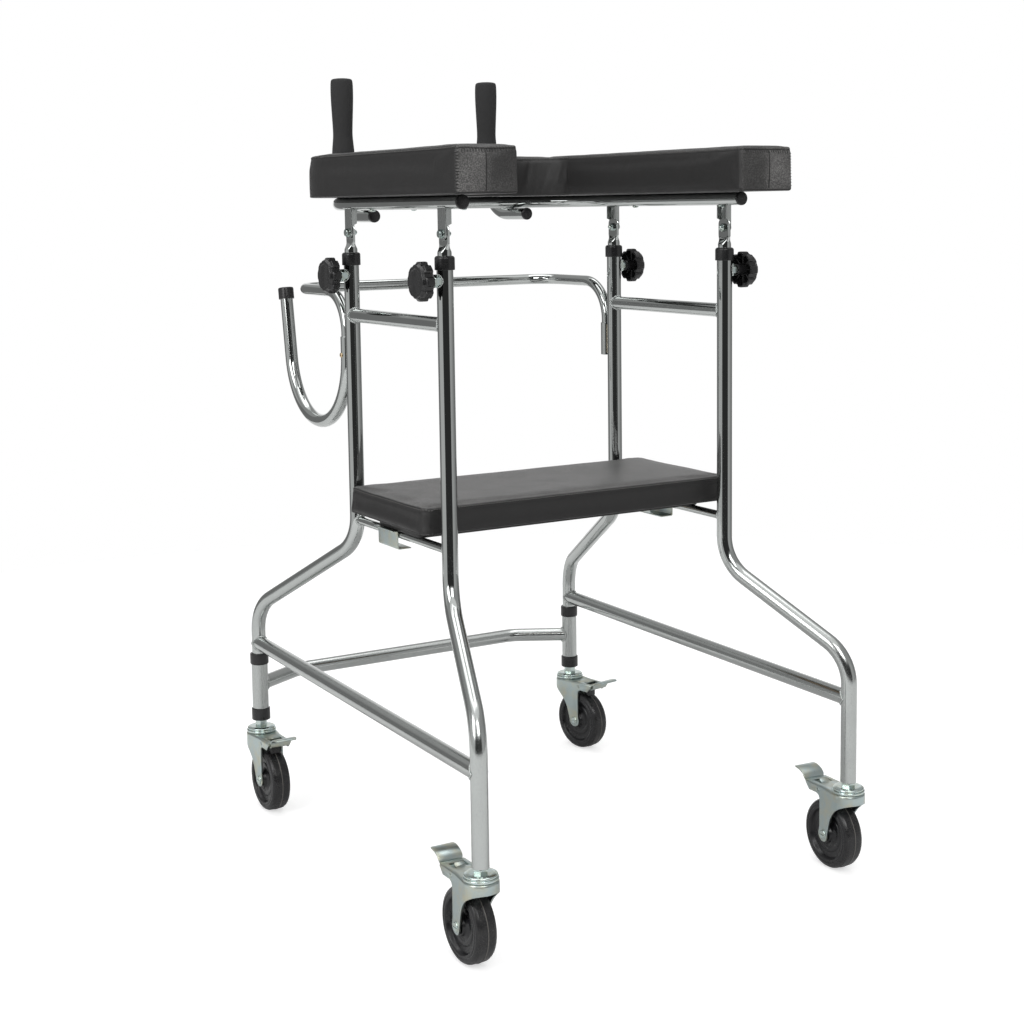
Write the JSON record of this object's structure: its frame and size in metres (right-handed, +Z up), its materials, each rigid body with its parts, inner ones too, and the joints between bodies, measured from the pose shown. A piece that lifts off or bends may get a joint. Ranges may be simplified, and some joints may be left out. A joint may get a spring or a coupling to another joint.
{
  "type": "forearm walker",
  "caption": "Chromed tube walker with a U-shaped padded forearm rest, upright hand grips, a seat, a side hook and braked swivel casters.",
  "frame": {"origin": "on the floor under the middle of the walker's outline, on its left-right plane of symmetry", "axes": "+Z up, +Y forwards, away from the user, +X to the user's right"},
  "size_m": [0.6444, 0.8101, 1.1492],
  "materials": {
    "chrome": "polished",
    "zinc": "satin",
    "black_plastic": "matte",
    "wheel": "gloss",
    "foam": "matte",
    "vinyl": "satin",
    "plywood": "matte"
  },
  "bodies": {
    "frame": {"leg_rear_left": "chrome", "tube_collar_rear_left": "black_plastic", "caster_mount_rear_left": "zinc", "leg_rear_right": "chrome", "tube_collar_rear_right": "black_plastic", "caster_mount_rear_right": "zinc", "leg_front_left": "chrome", "tube_collar_front_left": "black_plastic", "caster_mount_front_left": "zinc", "leg_front_right": "chrome", "tube_collar_front_right": "black_plastic", "caster_mount_front_right": "zinc", "top_rail_left": "chrome", "lower_rail_left": "chrome", "seat_rail_left": "chrome", "seat_clip_left": "chrome", "upper_ring_left": "black_plastic", "foot_collar_left": "black_plastic", "top_rail_right": "chrome", "lower_rail_right": "chrome", "seat_rail_right": "chrome", "seat_clip_right": "chrome", "upper_ring_right": "black_plastic", "foot_collar_right": "black_plastic", "lower_front_bar": "chrome", "upper_front_bar": "chrome", "side_hook": "chrome", "side_hook_cap": "black_plastic", "seat_board": "plywood", "seat_cushion": "vinyl"},
    "armrest": {"stem_rear_left": "chrome", "stem_rear_right": "chrome", "stem_front_left": "chrome", "stem_front_right": "chrome", "handle_tube_left": "chrome", "armrest_cap_left": "black_plastic", "handle_cap_left": "black_plastic", "hand_grip_left": "foam", "handle_tube_right": "chrome", "armrest_cap_right": "black_plastic", "handle_cap_right": "black_plastic", "hand_grip_right": "foam", "armrest_tube": "chrome", "armrest_pad": "vinyl"},
    "knob_rear_left": {"knob_rear_left": "black_plastic"},
    "knob_rear_right": {"knob_rear_right": "black_plastic"},
    "knob_front_left": {"knob_front_left": "black_plastic"},
    "knob_front_right": {"knob_front_right": "black_plastic"},
    "swivel_rear_left": {"caster_fork_rear_left": "zinc"},
    "wheel_rear_left": {"caster_wheel_rear_left": "wheel"},
    "pedal_rear_left": {"caster_pedal_rear_left": "zinc"},
    "swivel_rear_right": {"caster_fork_rear_right": "zinc"},
    "wheel_rear_right": {"caster_wheel_rear_right": "wheel"},
    "pedal_rear_right": {"caster_pedal_rear_right": "zinc"},
    "swivel_front_left": {"caster_fork_front_left": "zinc"},
    "wheel_front_left": {"caster_wheel_front_left": "wheel"},
    "pedal_front_left": {"caster_pedal_front_left": "zinc"},
    "swivel_front_right": {"caster_fork_front_right": "zinc"},
    "wheel_front_right": {"caster_wheel_front_right": "wheel"},
    "pedal_front_right": {"caster_pedal_front_right": "zinc"}
  },
  "joints": [
    {"name": "armrest_lift", "type": "slide", "parent": "frame", "child": "armrest", "axis": [0, 0, 1], "range_m": [0, 0.2]},
    {"name": "knob_turn_rear_left", "type": "hinge", "parent": "frame", "child": "knob_rear_left", "pos_m": [-0.228, -0.1868, 0.851], "axis": [-1, 0, 0], "range_deg": [0, 360]},
    {"name": "knob_turn_rear_right", "type": "hinge", "parent": "frame", "child": "knob_rear_right", "pos_m": [0.228, -0.1868, 0.851], "axis": [1, 0, 0], "range_deg": [0, 360]},
    {"name": "knob_turn_front_left", "type": "hinge", "parent": "frame", "child": "knob_front_left", "pos_m": [-0.228, 0.0992, 0.851], "axis": [-1, 0, 0], "range_deg": [0, 360]},
    {"name": "knob_turn_front_right", "type": "hinge", "parent": "frame", "child": "knob_front_right", "pos_m": [0.228, 0.0992, 0.851], "axis": [1, 0, 0], "range_deg": [0, 360]},
    {"name": "caster_swivel_rear_left", "type": "hinge", "parent": "frame", "child": "swivel_rear_left", "pos_m": [-0.2975, -0.3818, 0.1125], "axis": [0, 0, 1], "continuous": true},
    {"name": "wheel_spin_rear_left", "type": "hinge", "parent": "swivel_rear_left", "child": "wheel_rear_left", "pos_m": [-0.2975, -0.3498, 0.05], "axis": [1, 0, 0], "continuous": true},
    {"name": "brake_pedal_rear_left", "type": "hinge", "parent": "swivel_rear_left", "child": "pedal_rear_left", "pos_m": [-0.2975, -0.3378, 0.1125], "axis": [-1, 0, 0], "range_deg": [0, 5]},
    {"name": "caster_swivel_rear_right", "type": "hinge", "parent": "frame", "child": "swivel_rear_right", "pos_m": [0.2975, -0.3818, 0.1125], "axis": [0, 0, 1], "continuous": true},
    {"name": "wheel_spin_rear_right", "type": "hinge", "parent": "swivel_rear_right", "child": "wheel_rear_right", "pos_m": [0.29917, -0.34984, 0.05], "axis": [0.9986, -0.0523, 0], "continuous": true},
    {"name": "brake_pedal_rear_right", "type": "hinge", "parent": "swivel_rear_right", "child": "pedal_rear_right", "pos_m": [0.2998, -0.33786, 0.1125], "axis": [-0.9986, 0.0523, 0], "range_deg": [0, 5]},
    {"name": "caster_swivel_front_left", "type": "hinge", "parent": "frame", "child": "swivel_front_left", "pos_m": [-0.2915, 0.3437, 0.1125], "axis": [0, 0, 1], "continuous": true},
    {"name": "wheel_spin_front_left", "type": "hinge", "parent": "swivel_front_left", "child": "wheel_front_left", "pos_m": [-0.2915, 0.3117, 0.05], "axis": [-1, 0, 0], "continuous": true},
    {"name": "brake_pedal_front_left", "type": "hinge", "parent": "swivel_front_left", "child": "pedal_front_left", "pos_m": [-0.2915, 0.2997, 0.1125], "axis": [1, 0, 0], "range_deg": [0, 5]},
    {"name": "caster_swivel_front_right", "type": "hinge", "parent": "frame", "child": "swivel_front_right", "pos_m": [0.2915, 0.3437, 0.1125], "axis": [0, 0, 1], "continuous": true},
    {"name": "wheel_spin_front_right", "type": "hinge", "parent": "swivel_front_right", "child": "wheel_front_right", "pos_m": [0.29706, 0.31219, 0.05], "axis": [-0.9848, -0.1736, 0], "continuous": true},
    {"name": "brake_pedal_front_right", "type": "hinge", "parent": "swivel_front_right", "child": "pedal_front_right", "pos_m": [0.29914, 0.30037, 0.1125], "axis": [0.9848, 0.1736, 0], "range_deg": [0, 5]}
  ]
}
